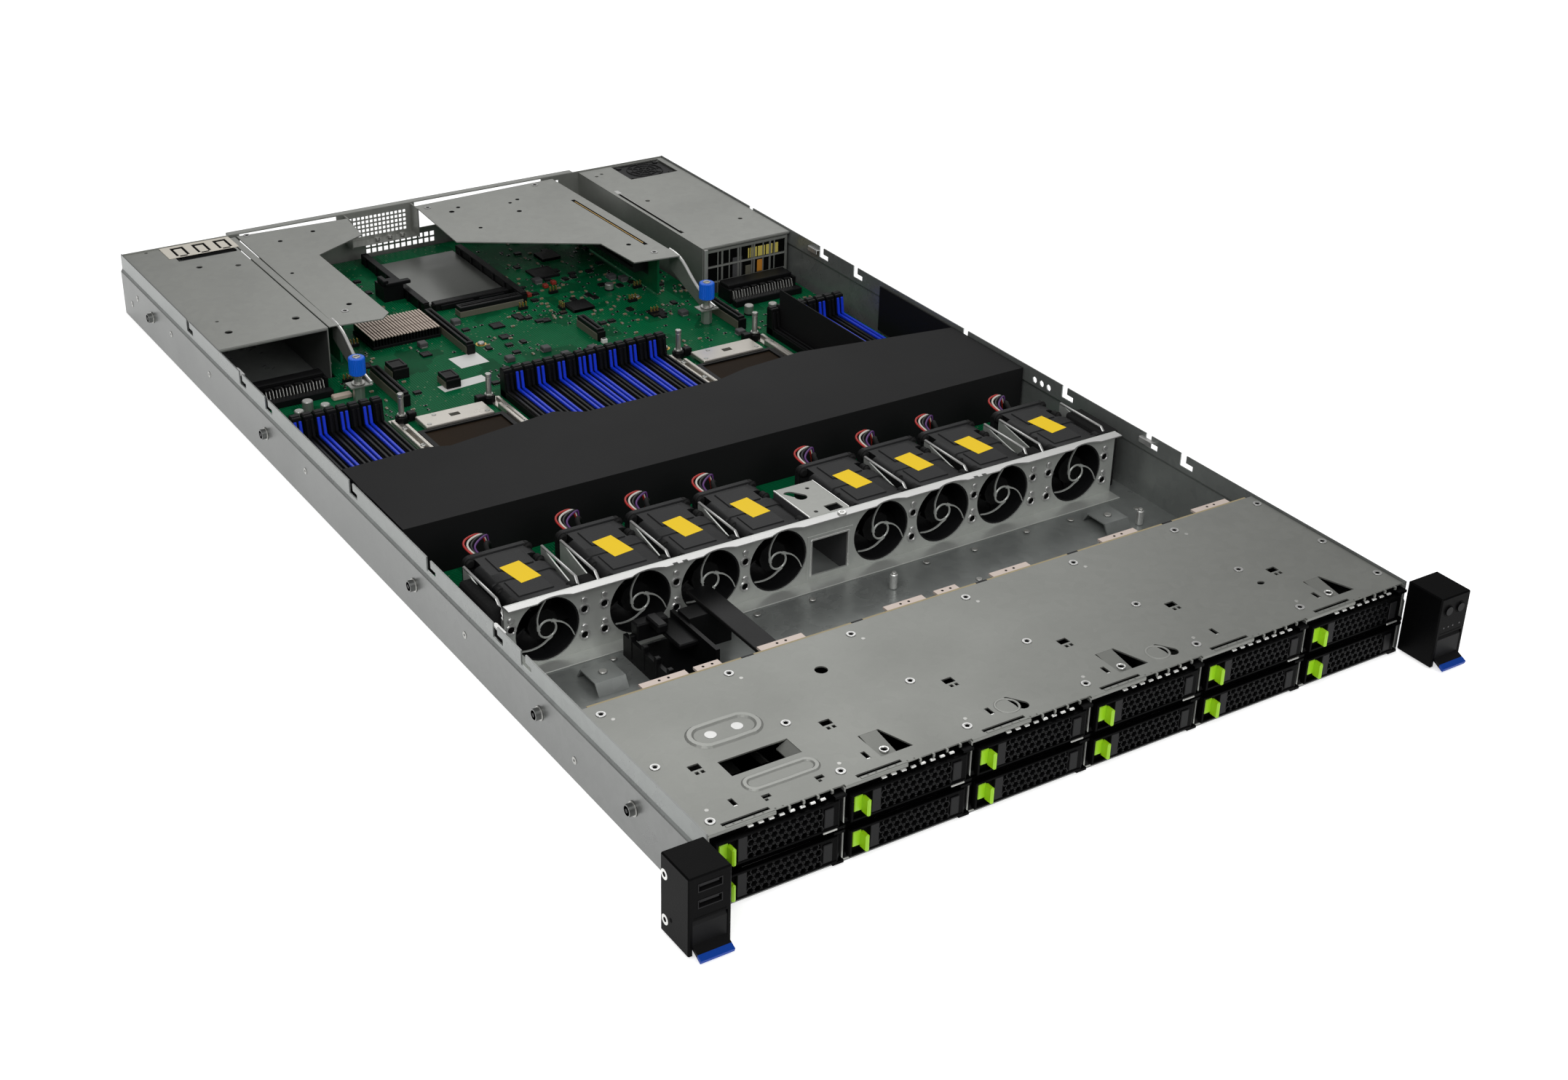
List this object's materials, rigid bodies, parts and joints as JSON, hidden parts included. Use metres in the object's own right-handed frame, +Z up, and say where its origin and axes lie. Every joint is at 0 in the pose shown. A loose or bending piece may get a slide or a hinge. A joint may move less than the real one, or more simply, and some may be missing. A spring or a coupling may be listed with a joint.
{
  "type": "rack server",
  "caption": "Low rack server with its lid off: drive trays with levers in front, a fan row, an air duct, a main board, risers and power supply bays.",
  "frame": {"origin": "middle of the whole part's underside", "axes": "+X to the right seen from the front, +Y to the rear, +Z up"},
  "size_m": [0.482, 0.8244, 0.0435],
  "materials": {
    "zinc_sheet": "galvanised, satin",
    "board_green": "solder mask",
    "board_tan": "laminate",
    "black_plastic": "moulded",
    "tray_black": "moulded",
    "fan_black": "moulded",
    "lead_wire": "sleeved wire",
    "duct_black": "matte sheet",
    "nickel_plate": "nickel plated",
    "ear_black": "matte",
    "button_black": "smooth",
    "screw_blue": "anodised cap"
  },
  "bodies": {
    "chassis": {"chassis_pan": "zinc_sheet", "rear_panel": "zinc_sheet", "drive_cage": "zinc_sheet", "cage_top_plate": "zinc_sheet", "backplane": "board_tan", "fan_wall": "zinc_sheet", "fan_housings": "fan_black", "fan_leads": "lead_wire", "motherboard": "board_green", "board_sockets": "black_plastic", "board_brackets": "nickel_plate", "board_connectors": "black_plastic", "psu_bays": "zinc_sheet", "cable_holder": "black_plastic", "ear_left": "ear_black", "ear_right": "ear_black"},
    "drive_tray_1a": {"drive_tray_1a": "tray_black"},
    "tray_lever_1a": {"tray_lever_1a": "tray_black"},
    "drive_tray_1b": {"drive_tray_1b": "tray_black"},
    "tray_lever_1b": {"tray_lever_1b": "tray_black"},
    "drive_tray_2a": {"drive_tray_2a": "tray_black"},
    "tray_lever_2a": {"tray_lever_2a": "tray_black"},
    "drive_tray_2b": {"drive_tray_2b": "tray_black"},
    "tray_lever_2b": {"tray_lever_2b": "tray_black"},
    "drive_tray_3a": {"drive_tray_3a": "tray_black"},
    "tray_lever_3a": {"tray_lever_3a": "tray_black"},
    "drive_tray_3b": {"drive_tray_3b": "tray_black"},
    "tray_lever_3b": {"tray_lever_3b": "tray_black"},
    "drive_tray_4a": {"drive_tray_4a": "tray_black"},
    "tray_lever_4a": {"tray_lever_4a": "tray_black"},
    "drive_tray_4b": {"drive_tray_4b": "tray_black"},
    "tray_lever_4b": {"tray_lever_4b": "tray_black"},
    "drive_tray_5a": {"drive_tray_5a": "tray_black"},
    "tray_lever_5a": {"tray_lever_5a": "tray_black"},
    "drive_tray_5b": {"drive_tray_5b": "tray_black"},
    "tray_lever_5b": {"tray_lever_5b": "tray_black"},
    "drive_tray_6a": {"drive_tray_6a": "tray_black"},
    "tray_lever_6a": {"tray_lever_6a": "tray_black"},
    "drive_tray_6b": {"drive_tray_6b": "tray_black"},
    "tray_lever_6b": {"tray_lever_6b": "tray_black"},
    "fan_rotor_1": {"fan_rotor_1": "fan_black"},
    "fan_rotor_2": {"fan_rotor_2": "fan_black"},
    "fan_rotor_3": {"fan_rotor_3": "fan_black"},
    "fan_rotor_4": {"fan_rotor_4": "fan_black"},
    "fan_rotor_5": {"fan_rotor_5": "fan_black"},
    "fan_rotor_6": {"fan_rotor_6": "fan_black"},
    "fan_rotor_7": {"fan_rotor_7": "fan_black"},
    "fan_rotor_8": {"fan_rotor_8": "fan_black"},
    "air_duct": {"air_duct": "duct_black"},
    "riser_left": {"riser_left": "zinc_sheet"},
    "thumbscrew_left": {"thumbscrew_left": "screw_blue"},
    "ear_latch_left": {"ear_latch_left": "ear_black"},
    "riser_right": {"riser_right": "zinc_sheet"},
    "thumbscrew_right": {"thumbscrew_right": "screw_blue"},
    "ear_latch_right": {"ear_latch_right": "ear_black"},
    "psu_module": {"psu_module": "zinc_sheet"},
    "psu_handle": {"psu_handle": "zinc_sheet"},
    "psu_blank": {"psu_blank": "zinc_sheet"},
    "power_button": {"power_button": "button_black"},
    "locator_button": {"locator_button": "button_black"}
  },
  "joints": [
    {"name": "duct_lift", "type": "slide", "parent": "chassis", "child": "air_duct", "axis": [0, 0, 1], "range_m": [0, 0.05]},
    {"name": "riser_lift_left", "type": "slide", "parent": "chassis", "child": "riser_left", "axis": [0, 0, 1], "range_m": [0, 0.045]},
    {"name": "thumbscrew_turn_left", "type": "hinge", "parent": "riser_left", "child": "thumbscrew_left", "pos_m": [-0.142, 0.1748, 0.019], "axis": [0, 0, 1], "continuous": true},
    {"name": "ear_latch_hinge_left", "type": "hinge", "parent": "chassis", "child": "ear_latch_left", "pos_m": [-0.23, -0.4022, 0.0172], "axis": [-1, 0, 0], "range_deg": [0, 70]},
    {"name": "riser_lift_right", "type": "slide", "parent": "chassis", "child": "riser_right", "axis": [0, 0, 1], "range_m": [0, 0.045]},
    {"name": "thumbscrew_turn_right", "type": "hinge", "parent": "riser_right", "child": "thumbscrew_right", "pos_m": [0.1177, 0.1722, 0.019], "axis": [0, 0, 1], "continuous": true},
    {"name": "ear_latch_hinge_right", "type": "hinge", "parent": "chassis", "child": "ear_latch_right", "pos_m": [0.23, -0.4022, 0.0172], "axis": [-1, 0, 0], "range_deg": [0, 70]},
    {"name": "psu_slide", "type": "slide", "parent": "chassis", "child": "psu_module", "axis": [0, 1, 0], "range_m": [0, 0.18]},
    {"name": "psu_handle_hinge", "type": "hinge", "parent": "psu_module", "child": "psu_handle", "pos_m": [0.1934, 0.4098, 0.031], "axis": [1, 0, 0], "range_deg": [0, 95]},
    {"name": "blank_slide", "type": "slide", "parent": "chassis", "child": "psu_blank", "axis": [0, 1, 0], "range_m": [0, 0.045]},
    {"name": "power_button_press", "type": "slide", "parent": "chassis", "child": "power_button", "axis": [0, 1, 0], "range_m": [0, 0.001], "stiffness_N_per_m": 150},
    {"name": "locator_button_press", "type": "slide", "parent": "chassis", "child": "locator_button", "axis": [0, 1, 0], "range_m": [0, 0.001], "stiffness_N_per_m": 150},
    {"name": "tray_slide_1a", "type": "slide", "parent": "chassis", "child": "drive_tray_1a", "axis": [0, -1, 0], "range_m": [0, 0.104]},
    {"name": "lever_hinge_1a", "type": "hinge", "parent": "drive_tray_1a", "child": "tray_lever_1a", "pos_m": [-0.1494, -0.382, 0.01117], "axis": [0, 0, 1], "range_deg": [0, 70]},
    {"name": "tray_slide_1b", "type": "slide", "parent": "chassis", "child": "drive_tray_1b", "axis": [0, -1, 0], "range_m": [0, 0.104]},
    {"name": "lever_hinge_1b", "type": "hinge", "parent": "drive_tray_1b", "child": "tray_lever_1b", "pos_m": [-0.1494, -0.382, 0.03093], "axis": [0, 0, 1], "range_deg": [0, 70]},
    {"name": "tray_slide_2a", "type": "slide", "parent": "chassis", "child": "drive_tray_2a", "axis": [0, -1, 0], "range_m": [0, 0.104]},
    {"name": "lever_hinge_2a", "type": "hinge", "parent": "drive_tray_2a", "child": "tray_lever_2a", "pos_m": [-0.0772, -0.382, 0.01117], "axis": [0, 0, 1], "range_deg": [0, 70]},
    {"name": "tray_slide_2b", "type": "slide", "parent": "chassis", "child": "drive_tray_2b", "axis": [0, -1, 0], "range_m": [0, 0.104]},
    {"name": "lever_hinge_2b", "type": "hinge", "parent": "drive_tray_2b", "child": "tray_lever_2b", "pos_m": [-0.0772, -0.382, 0.03093], "axis": [0, 0, 1], "range_deg": [0, 70]},
    {"name": "tray_slide_3a", "type": "slide", "parent": "chassis", "child": "drive_tray_3a", "axis": [0, -1, 0], "range_m": [0, 0.104]},
    {"name": "lever_hinge_3a", "type": "hinge", "parent": "drive_tray_3a", "child": "tray_lever_3a", "pos_m": [-0.005, -0.382, 0.01117], "axis": [0, 0, 1], "range_deg": [0, 70]},
    {"name": "tray_slide_3b", "type": "slide", "parent": "chassis", "child": "drive_tray_3b", "axis": [0, -1, 0], "range_m": [0, 0.104]},
    {"name": "lever_hinge_3b", "type": "hinge", "parent": "drive_tray_3b", "child": "tray_lever_3b", "pos_m": [-0.005, -0.382, 0.03093], "axis": [0, 0, 1], "range_deg": [0, 70]},
    {"name": "tray_slide_4a", "type": "slide", "parent": "chassis", "child": "drive_tray_4a", "axis": [0, -1, 0], "range_m": [0, 0.104]},
    {"name": "lever_hinge_4a", "type": "hinge", "parent": "drive_tray_4a", "child": "tray_lever_4a", "pos_m": [0.0672, -0.382, 0.01117], "axis": [0, 0, 1], "range_deg": [0, 70]},
    {"name": "tray_slide_4b", "type": "slide", "parent": "chassis", "child": "drive_tray_4b", "axis": [0, -1, 0], "range_m": [0, 0.104]},
    {"name": "lever_hinge_4b", "type": "hinge", "parent": "drive_tray_4b", "child": "tray_lever_4b", "pos_m": [0.0672, -0.382, 0.03093], "axis": [0, 0, 1], "range_deg": [0, 70]},
    {"name": "tray_slide_5a", "type": "slide", "parent": "chassis", "child": "drive_tray_5a", "axis": [0, -1, 0], "range_m": [0, 0.104]},
    {"name": "lever_hinge_5a", "type": "hinge", "parent": "drive_tray_5a", "child": "tray_lever_5a", "pos_m": [0.1394, -0.382, 0.01117], "axis": [0, 0, 1], "range_deg": [0, 70]},
    {"name": "tray_slide_5b", "type": "slide", "parent": "chassis", "child": "drive_tray_5b", "axis": [0, -1, 0], "range_m": [0, 0.104]},
    {"name": "lever_hinge_5b", "type": "hinge", "parent": "drive_tray_5b", "child": "tray_lever_5b", "pos_m": [0.1394, -0.382, 0.03093], "axis": [0, 0, 1], "range_deg": [0, 70]},
    {"name": "tray_slide_6a", "type": "slide", "parent": "chassis", "child": "drive_tray_6a", "axis": [0, -1, 0], "range_m": [0, 0.104]},
    {"name": "lever_hinge_6a", "type": "hinge", "parent": "drive_tray_6a", "child": "tray_lever_6a", "pos_m": [0.2116, -0.382, 0.01117], "axis": [0, 0, 1], "range_deg": [0, 70]},
    {"name": "tray_slide_6b", "type": "slide", "parent": "chassis", "child": "drive_tray_6b", "axis": [0, -1, 0], "range_m": [0, 0.104]},
    {"name": "lever_hinge_6b", "type": "hinge", "parent": "drive_tray_6b", "child": "tray_lever_6b", "pos_m": [0.2116, -0.382, 0.03093], "axis": [0, 0, 1], "range_deg": [0, 70]},
    {"name": "rotor_spin_1", "type": "hinge", "parent": "chassis", "child": "fan_rotor_1", "pos_m": [-0.18, -0.1387, 0.021], "axis": [0, 1, 0], "continuous": true},
    {"name": "rotor_spin_2", "type": "hinge", "parent": "chassis", "child": "fan_rotor_2", "pos_m": [-0.1242, -0.1387, 0.021], "axis": [0, 1, 0], "continuous": true},
    {"name": "rotor_spin_3", "type": "hinge", "parent": "chassis", "child": "fan_rotor_3", "pos_m": [-0.0804, -0.1387, 0.021], "axis": [0, 1, 0], "continuous": true},
    {"name": "rotor_spin_4", "type": "hinge", "parent": "chassis", "child": "fan_rotor_4", "pos_m": [-0.0366, -0.1387, 0.021], "axis": [0, 1, 0], "continuous": true},
    {"name": "rotor_spin_5", "type": "hinge", "parent": "chassis", "child": "fan_rotor_5", "pos_m": [0.033, -0.1387, 0.021], "axis": [0, 1, 0], "continuous": true},
    {"name": "rotor_spin_6", "type": "hinge", "parent": "chassis", "child": "fan_rotor_6", "pos_m": [0.0768, -0.1387, 0.021], "axis": [0, 1, 0], "continuous": true},
    {"name": "rotor_spin_7", "type": "hinge", "parent": "chassis", "child": "fan_rotor_7", "pos_m": [0.1206, -0.1387, 0.021], "axis": [0, 1, 0], "continuous": true},
    {"name": "rotor_spin_8", "type": "hinge", "parent": "chassis", "child": "fan_rotor_8", "pos_m": [0.1764, -0.1387, 0.021], "axis": [0, 1, 0], "continuous": true}
  ]
}
